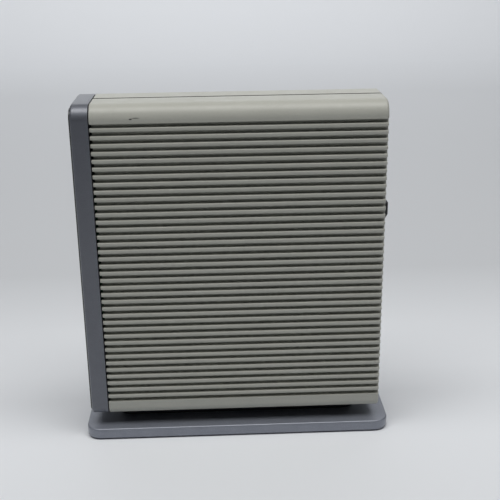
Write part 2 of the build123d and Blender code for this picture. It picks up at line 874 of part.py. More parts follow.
# ---------------------------------------------------------------- antennas and leads
antenna_mid_y = chassis_near_y - antenna_size[1] / 2
antenna_pad_y = chassis_near_y - antenna_size[1] - antenna_pad[1] / 2
top_antenna_z = chassis_top_z - antenna_size[2] / 2 - top_antenna_margin
side_antenna_x = chassis_front_x + antenna_size[2] / 2 + side_antenna_margin
upper_side_z = chassis_top_z - upper_side_drop - antenna_size[0] / 2
lower_side_z = chassis_low_z + lower_side_rise + antenna_size[0] / 2
coax_plug_z = board_top_z - coax_plug[2] / 2 - coax_plug_margin
coax_top_z = coax_plug_z + coax_plug[2] / 2
coax_y = board_near_y - coax_plug[1] / 2
coax_plug_places = [heatsink_front_x + offset for offset in coax_plug_offsets]


def level_antenna(x):
    return centred_box(antenna_size, x, antenna_mid_y, top_antenna_z)


def upright_antenna(z):
    turned = (antenna_size[2], antenna_size[1], antenna_size[0])
    return centred_box(turned, side_antenna_x, antenna_mid_y, z)


def level_feed(x):
    """Centre of the solder pad on a level antenna's lower edge."""
    return x, antenna_pad_y, top_antenna_z - antenna_size[2] / 2 + antenna_pad[2] / 2


rear_level_x = coax_plug_places[3] + rear_level_shift
front_level_x = coax_plug_places[2] - front_level_shift
antenna_feeds = [
    (side_antenna_x, antenna_pad_y, lower_side_z + (antenna_size[0] - antenna_pad[2]) / 2),
    (side_antenna_x, antenna_pad_y, upper_side_z - (antenna_size[0] - antenna_pad[2]) / 2),
    level_feed(front_level_x),
    level_feed(rear_level_x),
]


def antenna_pads():
    return group(centred_box(antenna_pad, *feed) for feed in antenna_feeds)


def coax_plugs():
    return group(on_board(coax_plug, x, coax_plug_z) for x in coax_plug_places)


def rising_lead(feed, plug_x_place):
    """From a pad that faces up, over the board's upper edge and down to its plug."""
    x, y, z = feed
    start = z + antenna_pad[2] / 2
    turn_z = board_top_z + lead_crest
    return lead(
        [
            (x, y, start),
            (x, y, turn_z - lead_shoulder),
            ((x + plug_x_place) / 2, (y + coax_y) / 2, turn_z),
            (plug_x_place, coax_y, turn_z - lead_descent),
            (plug_x_place, coax_y, coax_top_z),
        ],
        coax_r,
    )


def falling_lead(feed, plug_x_place):
    """From a pad that faces down, across to the plug's line and down to it."""
    x, y, z = feed
    start = z - antenna_pad[2] / 2
    entry_z = board_top_z + lead_entry
    upper_z = start - lead_first_share * (start - entry_z)
    return lead(
        [
            (x, y, start),
            (x, y, upper_z),
            (plug_x_place, coax_y, entry_z),
            (plug_x_place, coax_y, coax_top_z),
        ],
        coax_r,
    )


def display_lead():
    """The front indicator board's lead, from its back to the main board's front edge."""
    start_x = led_board_front_x + led_board_size[0]
    end_x = board_front_x + display_lead_inset[0]
    y = board_near_y - display_lead_inset[1]
    middle_x = (start_x + end_x) / 2
    end_z = middle_z - display_plug_offset[1]
    return lead(
        [
            (start_x, 0, middle_z),
            (middle_x - display_lead_shift, 0, middle_z),
            (middle_x + display_lead_shift, y, end_z),
            (end_x, y, end_z),
        ],
        wire_r,
    )


def display_plug():
    dx, drop = display_plug_offset
    return on_board(display_plug_size, board_front_x + dx, middle_z - drop)


def power_leads():
    top_z = plug_z + plug_size[2] / 2
    start_x = rocker_back_x - terminal_size[0]
    wires = []
    for z, x in zip(terminal_places, (plug_x - power_lead_spread, plug_x + power_lead_spread)):
        wires.append(lead([(start_x, 0, z), (x, 0, z), (x, 0, top_z)], wire_r))
    return group(wires)


# ---------------------------------------------------------------- base
def neck_screw_places():
    return [(x, side * base_screw_y) for x in (-base_screw_x, base_screw_x) for side in (-1, 1)]


def pedestal():
    z = (base_top_z, body_low_z)
    neck = flat_plate(neck_length, 2 * neck_half_width, z, neck_corner_r)
    inner_z = (z[0], z[1] - neck_wall)
    inner_size = (neck_length - 2 * neck_wall, 2 * (neck_half_width - neck_wall))
    hollow = flat_plate(*inner_size, inner_z, neck_corner_r - neck_wall)
    hollow -= [rod_z(boss_r, x, y, inner_z) for x, y in neck_screw_places()]
    neck -= hollow
    return neck - [rod_z(screw_r + clear_gap, x, y, z) for x, y in neck_screw_places()]


def base_weight():
    z = (base_low_z + fit_gap, base_low_z + fit_gap + weight_thick)
    weight = flat_plate(weight_length, 2 * weight_half_width, z, weight_corner_r)
    weight -= [rod_z(screw_r + clear_gap, x, y, z) for x, y in neck_screw_places()]
    head_z = (z[0], z[1] - weight_thick / 2)
    return weight - [rod_z(screw_head_r + clear_gap, x, y, head_z) for x, y in neck_screw_places()]


def base_plate():
    plate = flat_plate(base_length, base_width, (base_low_z, base_top_z), base_corner_r)
    plate = fillet(plate.faces().sort_by(Axis.Z)[-1].edges(), base_edge_r)
    pocket_z = (base_low_z, base_low_z + fit_gap + weight_thick)
    pocket_size = (weight_length + 2 * fit_gap, 2 * (weight_half_width + fit_gap))
    plate -= flat_plate(*pocket_size, pocket_z, weight_corner_r + fit_gap)
    plate -= [
        rod_z(screw_r + clear_gap, x, y, (base_low_z, base_top_z)) for x, y in neck_screw_places()
    ]
    seat_z = (base_low_z, base_low_z + foot_seat)
    return plate - [rod_z(foot_r, x, y, seat_z) for x, y in foot_places()]


def base_screws():
    head_z = base_low_z + fit_gap + weight_thick / 2
    length = inner_low_z + base_boss_height - screw_tip_gap - head_z
    screws = []
    for x, y in neck_screw_places():
        place = (x, y, head_z)
        screws.append(screw(place, (0, 0, 1), screw_r, length, screw_head_r, screw_head_height))
    return group(screws)


def foot_places():
    x = base_length / 2 - foot_inset
    y = base_width / 2 - foot_inset
    return [(sx * x, sy * y) for sx in (-1, 1) for sy in (-1, 1)]


def feet():
    return group(rod_z(foot_r, x, y, (0, base_low_z + foot_seat)) for x, y in foot_places())


# ---------------------------------------------------------------- assembly
def all_nodes():
    nodes = {
        "near_shell": near_shell(),
        "far_shell": far_shell(),
        "front_bezel": front_bezel(),
        "front_insert": front_insert(),
        "light_pipe": light_pipe(),
        "led_board": led_board(),
        "leds": leds(),
        "led_board_screws": led_board_screws(),
        "bezel_screws": bezel_screws(),
        "rear_panel": rear_panel(),
        "rear_panel_screws": rear_panel_screws(),
        "jack_contacts": jack_contacts(),
        "power_inlet": power_inlet(),
        "inlet_pin": inlet_pin(),
        "pair_button": pair_button(),
        "pair_plunger": button_plunger(pair_z),
        "pair_switch": button_switch(pair_z),
        "reset_button": reset_button(),
        "reset_plunger": button_plunger(reset_z),
        "reset_switch": button_switch(reset_z),
        "rocker_housing": rocker_housing(),
        "rocker": rocker(),
        "switch_terminals": switch_terminals(),
        "chassis": chassis(),
        "chassis_screws": chassis_screws(),
        "main_board": main_board(),
        "board_screws": board_screws(),
        "thermal_pads": thermal_pads(),
        "heatsink": heatsink(),
        "heatsink_pins": heatsink_pins(),
        "processor": processor(),
        "memory_chips": memory_chips(),
        "radio_chips": radio_chips(),
        "network_chip": network_chip(),
        "flash_chip": flash_chip(),
        "magnetics": magnetics(),
        "capacitors": capacitors(),
        "inductors": inductors(),
        "board_plug": board_plug(),
        "display_plug": display_plug(),
        "display_lead": display_lead(),
        "power_leads": power_leads(),
        "antenna_pads": antenna_pads(),
        "coax_plugs": coax_plugs(),
        "pedestal": pedestal(),
        "base_weight": base_weight(),
        "base_plate": base_plate(),
        "base_screws": base_screws(),
        "feet": feet(),
    }
    for n, z in enumerate(jack_places, start=1):
        nodes[f"ethernet_jack_{n}"] = ethernet_jack(z)
    for name in shield_places:
        nodes[name] = shield_can(name)
    nodes["side_antennas"] = group(upright_antenna(z) for z in (lower_side_z, upper_side_z))
    nodes["top_antennas"] = group(level_antenna(x) for x in (front_level_x, rear_level_x))
    leads = [
        rising_lead(antenna_feeds[0], coax_plug_places[0]),
        falling_lead(antenna_feeds[1], coax_plug_places[1]),
        falling_lead(antenna_feeds[2], coax_plug_places[2]),
        falling_lead(antenna_feeds[3], coax_plug_places[3]),
    ]
    nodes["antenna_leads"] = group(leads)
    return nodes


os.makedirs("parts", exist_ok=True)
for name, shape in all_nodes().items():
    export_step(shape, f"parts/{name}.step")
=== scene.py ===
import json
from math import cos, hypot, radians, sin

import bmesh
import bpy
from bpy.props import (
    FloatProperty,
    FloatVectorProperty,
    IntProperty,
    PointerProperty,
)
from mathutils import Matrix, Vector

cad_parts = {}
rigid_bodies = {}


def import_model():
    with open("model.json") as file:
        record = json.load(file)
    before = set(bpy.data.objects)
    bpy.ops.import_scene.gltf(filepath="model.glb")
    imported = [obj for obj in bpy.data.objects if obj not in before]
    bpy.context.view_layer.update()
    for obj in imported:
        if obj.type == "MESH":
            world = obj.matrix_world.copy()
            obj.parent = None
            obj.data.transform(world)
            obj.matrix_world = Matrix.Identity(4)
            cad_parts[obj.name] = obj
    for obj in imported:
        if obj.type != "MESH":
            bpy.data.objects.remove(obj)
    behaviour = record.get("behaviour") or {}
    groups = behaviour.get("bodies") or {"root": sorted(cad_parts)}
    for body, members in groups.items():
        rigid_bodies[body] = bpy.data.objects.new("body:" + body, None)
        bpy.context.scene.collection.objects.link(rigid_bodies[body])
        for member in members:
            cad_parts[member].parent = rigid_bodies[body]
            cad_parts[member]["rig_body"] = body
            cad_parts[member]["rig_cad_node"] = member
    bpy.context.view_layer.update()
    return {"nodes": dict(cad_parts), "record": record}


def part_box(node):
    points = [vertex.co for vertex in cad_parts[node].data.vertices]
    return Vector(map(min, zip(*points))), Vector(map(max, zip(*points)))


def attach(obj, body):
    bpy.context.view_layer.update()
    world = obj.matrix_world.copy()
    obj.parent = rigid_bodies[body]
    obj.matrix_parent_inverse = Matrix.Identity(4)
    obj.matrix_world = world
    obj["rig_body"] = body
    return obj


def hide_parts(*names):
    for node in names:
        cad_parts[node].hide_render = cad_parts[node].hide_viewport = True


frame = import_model()

bl_info = {
    "name": "Ribbed network node",
    "version": (1, 0, 0),
    "blender": (4, 5, 0),
    "location": "3D View > Sidebar > Network node",
    "description": "Builds a slim ribbed network tower on a weighted base plate",
    "category": "Object",
}

MM = 0.001
TINY = 0.00001


# ---------------------------------------------------------------- what a user may change
def length(name, description, default, **limits):
    """A length property in metres."""
    options = {"min": 0.0, "unit": "LENGTH", "subtype": "DISTANCE", "precision": 5}
    return FloatProperty(name=name, description=description, default=default, **{**options, **limits})


def colour(name, description, default):
    """A linear colour property."""
    return FloatVectorProperty(
        name=name, description=description, default=default, size=3, min=0.0, max=1.0, subtype="COLOR"
    )


class NodeSizes(bpy.types.PropertyGroup):
    """Sizes of the pieces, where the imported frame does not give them."""

    top_corner: length("Top corner radius", "Rounding along the tower's upper edges", 9.0 * MM)
    low_corner: length("Lower corner radius", "Rounding along the tower's lower edges", 5.0 * MM)
    rib_pitch: length("Rib pitch", "Distance from one rib to the next", 4.5 * MM)
    rib_edge: length("Rib edge", "Rounding of the ribs' outer edges", 0.5 * MM)
    rib_height: length("Rib height", "Height of one rib", 2.25 * MM)
    rib_count: IntProperty(name="Ribs", description="Number of ribs on each side", default=38, min=1)
    groove_depth: length("Groove depth", "Depth of the grooves between the ribs", 3.0 * MM)
    top_margin: length("Top margin", "From the tower's top to the first groove", 10.3 * MM)
    shell_skin: length("Shell skin", "Wall behind the grooves", 2.4 * MM)
    seam_gap: length("Seam gap", "Width of the groove where the shells meet", 1.9 * MM)
    reveal: length("Reveal", "Gap between the bezel and the shells", 0.4 * MM)
    rear_round: length("Rear rounding", "Rounding of the shells' rear rim", 1.5 * MM)
    rib_end_step: length("Rib end step", "How far the grooves' wall starts behind the rib ends", 1.1 * MM)
    front_round: length("Front rounding", "Rounding of the shells' front rim", 0.8 * MM)
    seam_round: length("Seam rounding", "Rounding of the shells' seam edges", 0.12 * MM)
    bezel_round: length("Bezel rounding", "Rounding of the bezel's front rim", 1.5 * MM)
    bezel_lip: length("Bezel lip", "Width of the bezel's rim round the insert", 0.7 * MM)
    bezel_wall: length("Bezel wall", "Wall of the bezel", 2.4 * MM)
    base_corner: length("Base corner radius", "Rounding of the base plate's corners", 9.0 * MM)
    base_round: length("Base rounding", "Rounding of the base plate's top rim", 0.9 * MM)
    base_lower_round: length("Base lower rounding", "Rounding of the base plate's lower rim", 0.5 * MM)


class NodeColours(bpy.types.PropertyGroup):
    """Colours of the finishes."""

    shell: colour("Shell", "Warm grey moulded shells", (0.43, 0.432, 0.388))
    silver: colour("Silver", "Blue-grey metallic finish of bezel and base", (0.185, 0.197, 0.232))
    black: colour("Black", "Matt black mouldings", (0.018, 0.018, 0.020))
    smoked: colour("Smoked black", "Gloss black front insert", (0.010, 0.010, 0.012))
    rubber: colour("Rubber", "Feet and wire jackets", (0.020, 0.020, 0.020))
    steel: colour("Steel", "Screws, weight and shield cans", (0.56, 0.57, 0.58))
    gold: colour("Contact gold", "Plated contacts", (0.80, 0.58, 0.25))
    board: colour("Board", "Circuit board mask", (0.015, 0.12, 0.05))
    floor: colour("Floor", "Pale floor and backdrop", (0.78, 0.80, 0.83))


class StageSettings(bpy.types.PropertyGroup):
    """Camera and lights."""

    camera_place: FloatVectorProperty(
        name="Camera place",
        description="Where the camera stands",
        default=(-0.0097, -0.5262, 0.2998),
        size=3,
        subtype="TRANSLATION",
        unit="LENGTH",
    )
    yaw: FloatProperty(
        name="Yaw", description="Camera's turn to the right", default=radians(2.116), subtype="ANGLE"
    )
    pitch: FloatProperty(
        name="Pitch", description="Camera's tilt down", default=radians(19.586), subtype="ANGLE"
    )
    roll: FloatProperty(
        name="Roll", description="Camera's roll", default=radians(-0.744), subtype="ANGLE"
    )
    lens: FloatProperty(name="Lens", description="Focal length in millimetres", default=65.54, min=1.0)
    key_power: FloatProperty(
        name="Softbox power", description="Power of the overhead softbox", default=17.0, unit="POWER"
    )
    backdrop_power: FloatProperty(
        name="Backdrop power", description="Power of the backdrop's own light", default=38.0, unit="POWER"
    )
    room_light: FloatProperty(
        name="Room light", description="Brightness of the room all round", default=0.05, min=0.0
    )


# ---------------------------------------------------------------- modelling by hand
def only(piece):
    """Makes one piece the only selected and active one."""
    bpy.ops.object.select_all(action="DESELECT")
    piece.select_set(True)
    bpy.context.view_layer.objects.active = piece


def cube(name, low, high):
    """A cube primitive between two corners, with its place in its mesh."""
    bpy.ops.object.select_all(action="DESELECT")
    low, high = Vector(low), Vector(high)
    bpy.ops.mesh.primitive_cube_add(size=1.0, location=(low + high) / 2, scale=high - low)
    return applied(name)


def cylinder(name, radius, centre, depth, sides=48):
    """An upright cylinder primitive, with its place in its mesh."""
    bpy.ops.object.select_all(action="DESELECT")
    bpy.ops.mesh.primitive_cylinder_add(vertices=sides, radius=radius, depth=depth, location=centre)
    return applied(name)


def applied(name):
    piece = bpy.context.object
    piece.name = name
    bpy.ops.object.transform_apply(location=True, rotation=True, scale=True)
    return piece


class editing:
    """Edit mode on one piece, for the length of a with block."""

    def __init__(self, piece):
        self.piece = piece

    def __enter__(self):
        only(self.piece)
        bpy.ops.object.mode_set(mode="EDIT")
        return self

    def __exit__(self, *_):
        bpy.ops.object.mode_set(mode="OBJECT")

    def pick(self, kind, test):
        """Selects only the vertices, edges or faces that pass the test."""
        bpy.ops.mesh.select_mode(type=kind)
        bpy.ops.mesh.select_all(action="DESELECT")
        shape = bmesh.from_edit_mesh(self.piece.data)
        items = {"VERT": shape.verts, "EDGE": shape.edges, "FACE": shape.faces}[kind]
        chosen = [item for item in items if test(item)]
        if not chosen:
            raise RuntimeError(f"nothing to pick on {self.piece.name}")
        for item in chosen:
            item.select_set(True)
        bmesh.update_edit_mesh(self.piece.data)

    def round_edges(self, test, offset, segments):
        self.pick("EDGE", test)
        bpy.ops.mesh.bevel(offset=offset, segments=segments, profile=0.5, affect="EDGES")

    def delete_faces(self, test):
        self.pick("FACE", test)
        bpy.ops.mesh.delete(type="FACE")

    def cut(self, place, normal):
        bpy.ops.mesh.select_all(action="SELECT")
        bpy.ops.mesh.bisect(plane_co=place, plane_no=normal, threshold=TINY / 100)

    def sink(self, test, thickness, shift):
        """Insets the chosen face and pushes it in."""
        self.pick("FACE", test)
        bpy.ops.mesh.inset(thickness=thickness, depth=0.0)
        bpy.ops.mesh.extrude_region_move(TRANSFORM_OT_translate={"value": shift})

    def recalculate(self):
        bpy.ops.mesh.select_all(action="SELECT")
        bpy.ops.mesh.remove_doubles(threshold=TINY / 10)
        bpy.ops.mesh.normals_make_consistent(inside=False)


def along(axis):
    """A test for edges that run along an axis, 0 to 2."""
    return lambda edge: all(
        abs(edge.verts[0].co[n] - edge.verts[1].co[n]) < TINY for n in range(3) if n != axis
    )


def in_plane(axis, value):
    """A test for edges or faces with every corner in one plane."""
    return lambda item: all(abs(vert.co[axis] - value) < TINY for vert in item.verts)


def facing(axis, sign):
    """A test for faces that face along an axis."""
    return lambda face: face.normal[axis] * sign > 0.999


def outermost(axis, value, test):
    """A test for items that pass a test and lie in one plane."""
    plane = in_plane(axis, value)
    return lambda item: plane(item) and test(item)


def rounded_block(name, low, high, axis, radius, segments):
    """A block whose four edges along one axis are rounded."""
    block = cube(name, low, high)
    with editing(block) as edit:
        edit.round_edges(along(axis), radius, segments)
    return block


def use_modifier(piece, kind, **values):
    """Adds one modifier, sets it and applies it."""
    only(piece)
    modifier = piece.modifiers.new(kind.lower(), kind)
    for name, value in values.items():
        setattr(modifier, name, value)
    bpy.ops.object.modifier_apply(modifier=modifier.name)


def joined(piece, *others):
    only(piece)
    for other in others:
        other.select_set(True)
    bpy.ops.object.join()
    return piece


def smooth(piece, angle=35):
    only(piece)
    bpy.ops.object.shade_smooth_by_angle(angle=radians(angle))


def finish(piece, body, slot, material, *nodes):
    """Gives a piece its finish, its body and the CAD nodes that it stands for."""
    piece.data.materials.clear()
    piece.data.materials.append(material)
    for polygon in piece.data.polygons:
        polygon.material_index = 0
    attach(piece, body)
    if nodes:
        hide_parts(*nodes)
    return piece


def softened(node, width, slot, material, segments=2):
    """A finished copy of a CAD node, with its flat faces joined and its edges rounded."""
    source = frame["nodes"][node]
    body = source["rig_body"]
    piece = source.copy()
    piece.data = source.data.copy()
    piece.name = f"{node}_finished"
    piece.parent = None
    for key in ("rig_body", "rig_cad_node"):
        del piece[key]
    bpy.context.scene.collection.objects.link(piece)
    with editing(piece):
        bpy.ops.mesh.select_all(action="SELECT")
        bpy.ops.mesh.remove_doubles(threshold=TINY / 10)
        bpy.ops.mesh.dissolve_limited(angle_limit=radians(0.5))
    limits = {"limit_method": "ANGLE", "angle_limit": radians(35)}
    use_modifier(piece, "BEVEL", width=width, segments=segments, use_clamp_overlap=True, **limits)
    smooth(piece)
    return finish(piece, body, slot, material, node)


# ---------------------------------------------------------------- finishes
class Finish:
    """A material under construction: one principled shader and its texture nodes."""

    def __init__(self, name, base, roughness, metallic=0.0):
        self.material = bpy.data.materials.new(name)
        self.material.use_nodes = True
        self.tree = self.material.node_tree
        self.shader = self.tree.nodes["Principled BSDF"]
        self.place = self.tree.nodes.new("ShaderNodeTexCoord").outputs["Object"]
        self.shader.inputs["Base Color"].default_value = (*base, 1.0)
        self.shader.inputs["Roughness"].default_value = roughness
        self.shader.inputs["Metallic"].default_value = metallic
        self.base = base
        self.height = None

    def set(self, **values):
        for name, value in values.items():
            self.shader.inputs[name.replace("_", " ")].default_value = value
        return self

    def noise(self, size, detail=3.0, stretch=(1, 1, 1)):
        """Noise whose grains are about one size across, in metres."""
        mapping = self.tree.nodes.new("ShaderNodeMapping")
        mapping.inputs["Scale"].default_value = stretch
        texture = self.tree.nodes.new("ShaderNodeTexNoise")
        texture.inputs["Scale"].default_value = 1.0 / size
        texture.inputs["Detail"].default_value = detail
        self.tree.links.new(self.place, mapping.inputs["Vector"])
        self.tree.links.new(mapping.outputs["Vector"], texture.inputs["Vector"])
        return texture.outputs["Fac"]

    def flakes(self, size):
        """Small cells, each with its own value."""
        texture = self.tree.nodes.new("ShaderNodeTexVoronoi")
        texture.inputs["Scale"].default_value = 1.0 / size
        self.tree.links.new(self.place, texture.inputs["Vector"])
        split = self.tree.nodes.new("ShaderNodeSeparateColor")
        self.tree.links.new(texture.outputs["Color"], split.inputs["Color"])
        return split.outputs["Red"]

    def depth(self, start, end):
        """0 before one value of Y and 1 past another."""
        split = self.tree.nodes.new("ShaderNodeSeparateXYZ")
        self.tree.links.new(self.place, split.inputs["Vector"])
        return self.ranged(split.outputs["Y"], 0.3, 0.7, start, end)

    def ranged(self, value, low, high, from_low=0.3, from_high=0.7):
        """A value fitted to a new range."""
        fit = self.tree.nodes.new("ShaderNodeMapRange")
        fit.inputs["From Min"].default_value = from_low
        fit.inputs["From Max"].default_value = from_high
        fit.inputs["To Min"].default_value = low
        fit.inputs["To Max"].default_value = high
        self.tree.links.new(value, fit.inputs["Value"])
        return fit.outputs["Result"]

    def tint(self, value, other, most=1.0):
        """Mixes another colour into the base where a value is high."""
        mix = self.tree.nodes.new("ShaderNodeMix")
        mix.data_type = "RGBA"
        socket = self.shader.inputs["Base Color"]
        if socket.is_linked:
            self.tree.links.new(socket.links[0].from_socket, mix.inputs["A"])
        else:
            mix.inputs["A"].default_value = (*self.base, 1.0)
        mix.inputs["B"].default_value = (*other, 1.0)
        self.tree.links.new(self.ranged(value, 0.0, most), mix.inputs["Factor"])
        self.tree.links.new(mix.outputs["Result"], socket)
        return self

    def vary_roughness(self, value, low, high):
        self.tree.links.new(self.ranged(value, low, high), self.shader.inputs["Roughness"])
        return self

    def bump(self, value, depth, strength=1.0):
        """Raises the surface by a value, to a depth in metres."""
        node = self.tree.nodes.new("ShaderNodeBump")
        node.inputs["Distance"].default_value = depth
        node.inputs["Strength"].default_value = strength
        self.tree.links.new(value, node.inputs["Height"])
        if self.height is not None:
            self.tree.links.new(self.height, node.inputs["Normal"])
        self.height = node.outputs["Normal"]
        self.tree.links.new(self.height, self.shader.inputs["Normal"])
        return self

    def near(self, place, reach):
        """A soft blob round a place: 1 at its centre, 0 past its reach on each axis."""
        shift = self.tree.nodes.new("ShaderNodeMapping")
        scale = [1.0 / r for r in reach]
        shift.inputs["Scale"].default_value = scale
        shift.inputs["Location"].default_value = [-p * s for p, s in zip(place, scale)]
        ball = self.tree.nodes.new("ShaderNodeTexGradient")
        ball.gradient_type = "SPHERICAL"
        self.tree.links.new(self.place, shift.inputs["Vector"])
        self.tree.links.new(shift.outputs["Vector"], ball.inputs["Vector"])
        return ball.outputs["Fac"]


def shade(base, factor):
    return tuple(min(1.0, channel * factor) for channel in base)


def shell_finish():
    """Satin warm grey moulding: fine spark texture, faint handling marks, one small scuff, and painted
    shade darkening the seam.
    """
    base = bpy.context.scene.node_colours.shell
    made = Finish("shell_plastic", base, 0.42).set(Specular_IOR_Level=0.45)
    made.tint(made.noise(18 * MM, 4.0), shade(base, 0.93), 0.8)
    made.tint(made.noise(0.9 * MM, 2.0), shade(base, 1.05), 0.5)
    made.vary_roughness(made.noise(7 * MM, 5.0), 0.36, 0.48)
    low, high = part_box("near_shell")
    unlimited = 10.0
    # Painted shade: the seam's walls and the strip inside it are darkened, standing in for the shadow in
    # the seam.
    seam = made.near(Vector(), (unlimited, 2.4 * MM, unlimited))
    made.tint(made.ranged(seam, 0.3, 0.7, 0.48, 0.58), shade(base, 0.12), 0.85)
    nick = Vector((low.x + 30.2 * MM, low.y + 0.14 * MM, high.z - 7.8 * MM))
    rub = Vector((low.x + 33.0 * MM, low.y + 0.14 * MM, high.z - 7.3 * MM))
    for place, reach, strength in (
        (nick, (1.3 * MM, 1.3 * MM, 0.6 * MM), 1.0),
        (rub, (3.4 * MM, 1.3 * MM, 0.6 * MM), 0.6),
    ):
        marked = made.near(place, reach)
        made.tint(made.ranged(marked, 0.3, 0.7, 0.15, 0.6), shade(base, 0.10), strength)
    made.bump(made.noise(0.35 * MM, 2.0), 0.005 * MM)
    made.bump(made.noise(30 * MM, 1.0), 0.05 * MM)
    return made.material


def silver_finish(name, painted_lightness, coat_roughness):
    """Blue-grey metallic lacquer: fine flakes in a satin coat. Its lightness factor is painted light: one
    lacquer, made darker or lighter for how each part is lit.
    """
    base = shade(bpy.context.scene.node_colours.silver, painted_lightness)
    made = Finish(name, base, 0.44, metallic=0.7)
    made.set(Coat_Weight=0.9, Coat_Roughness=coat_roughness)
    made.tint(made.flakes(0.22 * MM), shade(base, 1.35), 0.55)
    made.tint(made.noise(0.5 * MM, 2.0), shade(base, 0.78), 0.6)
    made.tint(made.noise(22 * MM, 3.0), shade(base, 0.92), 0.6)
    made.vary_roughness(made.noise(5 * MM, 4.0), 0.50, 0.60)
    made.bump(made.flakes(0.3 * MM), 0.006 * MM)
    made.bump(made.noise(0.8 * MM, 3.0), 0.008 * MM)
    return made.material


def black_finish():
    """Matt black moulding with a fine spark texture."""
    base = bpy.context.scene.node_colours.black
    made = Finish("black_plastic", base, 0.5).set(Specular_IOR_Level=0.4)
    made.tint(made.noise(12 * MM, 3.0), shade(base, 1.8), 0.6)
    made.vary_roughness(made.noise(3 * MM, 4.0), 0.42, 0.6)
    made.bump(made.noise(0.3 * MM, 2.0), 0.02 * MM)
    return made.material


def smoked_finish():
    """Gloss black insert with faint hairline marks."""
    base = bpy.context.scene.node_colours.smoked
    made = Finish("smoked_black", base, 0.12)
    made.set(Specular_IOR_Level=0.55, Coat_Weight=0.4, Coat_Roughness=0.05)
    made.tint(made.noise(25 * MM, 3.0), shade(base, 1.6), 0.5)
    made.vary_roughness(made.noise(1.5 * MM, 6.0, (1, 1, 0.08)), 0.08, 0.2)
    return made.material


def rubber_finish():
    """Dull black rubber with a faint dusty bloom."""
    base = bpy.context.scene.node_colours.rubber
    made = Finish("foot_rubber", base, 0.75).set(Specular_IOR_Level=0.25)
    made.tint(made.noise(2.5 * MM, 4.0), shade(base, 2.6), 0.7)
    made.bump(made.noise(0.5 * MM, 3.0), 0.03 * MM)
    return made.material


def steel_finish():
    """Plated steel with a fine rolled grain."""
    base = bpy.context.scene.node_colours.steel
    made = Finish("plated_steel", base, 0.32, metallic=1.0)
    made.tint(made.noise(6 * MM, 4.0), shade(base, 0.75), 0.6)
    made.vary_roughness(made.noise(0.6 * MM, 4.0, (0.06, 1, 1)), 0.24, 0.42)
    made.bump(made.noise(0.3 * MM, 3.0, (0.05, 1, 1)), 0.006 * MM)
    return made.material


def aluminium_finish():
    """Plain extruded aluminium with draw lines along its fins."""
    made = Finish("sink_aluminium", (0.62, 0.63, 0.64), 0.38, metallic=1.0)
    made.tint(made.noise(8 * MM, 3.0), (0.50, 0.51, 0.52), 0.6)
    made.bump(made.noise(0.25 * MM, 3.0, (1, 1, 0.04)), 0.012 * MM)
    return made.material


def gold_finish():
    """Gold-plated contact metal."""
    base = bpy.context.scene.node_colours.gold
    made = Finish("contact_gold", base, 0.25, metallic=1.0)
    made.tint(made.noise(1.2 * MM, 3.0), shade(base, 0.8), 0.6)
    made.bump(made.noise(0.2 * MM, 2.0), 0.004 * MM)
    return made.material


def board_finish():
    """Solder mask over copper: faint lighter tracks in rows, and a woven glass grain."""
    base = bpy.context.scene.node_colours.board
    made = Finish("board_green", base, 0.35).set(Specular_IOR_Level=0.6)
    made.tint(made.noise(1.4 * MM, 1.0, (0.12, 1, 1)), shade(base, 1.9), 0.7)
    made.tint(made.noise(1.1 * MM, 1.0, (1, 1, 0.12)), shade(base, 1.6), 0.5)
    made.bump(made.noise(0.4 * MM, 2.0), 0.01 * MM)
    return made.material


def chip_finish():
    """Matt moulded epoxy."""
    made = Finish("chip_black", (0.022, 0.022, 0.023), 0.55).set(Specular_IOR_Level=0.35)
    made.tint(made.noise(0.7 * MM, 4.0), (0.05, 0.05, 0.05), 0.6)
    made.bump(made.noise(0.15 * MM, 3.0), 0.008 * MM)
    return made.material


def milky_finish(name, base):
    """Translucent milky plastic."""
    made = Finish(name, base, 0.3).set(Specular_IOR_Level=0.5, Subsurface_Weight=0.2)
    made.tint(made.noise(3 * MM, 3.0), shade(base, 0.88), 0.6)
    made.bump(made.noise(0.4 * MM, 2.0), 0.006 * MM)
    return made.material


def pad_finish():
    """Soft thermal gap pad."""
    made = Finish("pad_grey", (0.28, 0.34, 0.42), 0.8).set(Specular_IOR_Level=0.2)
    made.tint(made.noise(1.0 * MM, 4.0), (0.18, 0.22, 0.28), 0.7)
    made.bump(made.noise(0.3 * MM, 3.0), 0.03 * MM)
    return made.material


def floor_finish():
    """Pale matt paper with the faintest mottling, and painted shade: darker behind the object up to the
    wall and far in front of it, full brightness again on the wall.
    """
    base = bpy.context.scene.node_colours.floor
    made = Finish("floor_paper", base, 0.85).set(Specular_IOR_Level=0.15)
    made.tint(made.noise(0.35, 2.0), shade(base, 0.97), 0.7)
    # Painted shade: the floor behind the object and far in front of it is darkened, standing in for the
    # light's fall-off; the wall is brought back to full brightness.
    made.tint(made.depth(0.06, 0.26), shade(base, 0.73))
    made.tint(made.depth(1.20, 2.30), base)
    made.tint(made.depth(-0.45, -0.95), shade(base, 0.7))
    made.bump(made.noise(3 * MM, 2.0), 0.02 * MM)
    return made.material


FINISHES = {}


def make_finishes():
    FINISHES.update(
        shell_plastic=shell_finish(),
        # Bezel and base share one lacquer: the bezel's copy is darkened and the base's copy lightened,
        # painted light standing in for how each is lit.
        silver_plastic=silver_finish("silver_plastic", 0.70, 0.30),
        silver_base=silver_finish("silver_base", 1.35, 0.28),
        smoked_black=smoked_finish(),
        black_plastic=black_finish(),
        clear_plastic=milky_finish("clear_plastic", (0.80, 0.83, 0.85)),
        board_green=board_finish(),
        chip_black=chip_finish(),
        led_white=milky_finish("led_white", (0.80, 0.78, 0.62)),
        steel=steel_finish(),
        sink_aluminium=aluminium_finish(),
        pad_grey=pad_finish(),
        contact_gold=gold_finish(),
        foot_rubber=rubber_finish(),
    )
    FINISHES["shield_tin"] = FINISHES["steel"]
    FINISHES["chassis_plastic"] = FINISHES["black_plastic"]
    FINISHES["lead_black"] = FINISHES["foot_rubber"]


